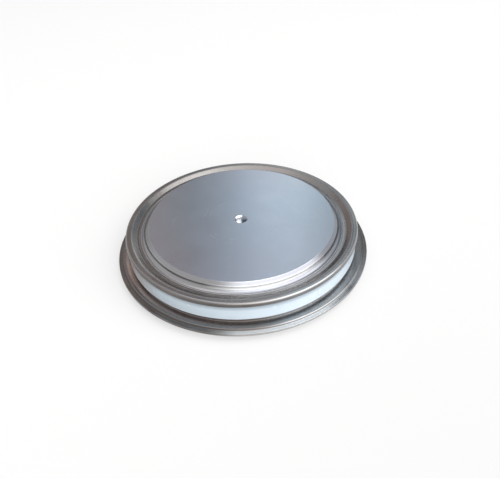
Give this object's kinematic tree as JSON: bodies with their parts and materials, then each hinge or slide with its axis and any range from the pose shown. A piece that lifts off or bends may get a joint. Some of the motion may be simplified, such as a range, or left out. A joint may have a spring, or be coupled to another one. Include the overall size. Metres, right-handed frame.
{
  "type": "disc thyristor",
  "caption": "Disc thyristor capsule: plated copper pole faces in a white ceramic ring with thin sheet flanges, made to be clamped between heatsinks.",
  "frame": {"origin": "centre of the anode contact face, on the surface that the capsule stands on", "axes": "+Z from the anode face to the cathode face, +Y along the gate tube"},
  "size_m": [0.086, 0.086, 0.014],
  "materials": {
    "plated_copper": "satin",
    "plated_sheet": "satin",
    "alumina": "satin",
    "silver": "satin",
    "molybdenum": "satin",
    "silicon": "polished",
    "silicone_rubber": "satin",
    "white_plastic": "matte",
    "spring_steel": "satin"
  },
  "bodies": {
    "root": {"cathode_pole": "plated_copper", "cathode_flange": "plated_sheet", "ceramic_ring": "alumina", "weld_flange": "plated_sheet", "lid_flange": "plated_sheet", "anode_pole": "plated_copper", "anode_foil": "silver", "anode_disc": "molybdenum", "silicon_wafer": "silicon", "edge_seal": "silicone_rubber", "cathode_disc": "molybdenum", "cathode_foil": "silver", "locating_ring": "white_plastic", "gate_cup": "white_plastic", "gate_spring": "spring_steel", "gate_pin": "silver", "gate_lead": "silver", "gate_sleeve": "white_plastic", "gate_tube": "plated_sheet", "cathode_tab": "plated_sheet"}
  },
  "joints": []
}
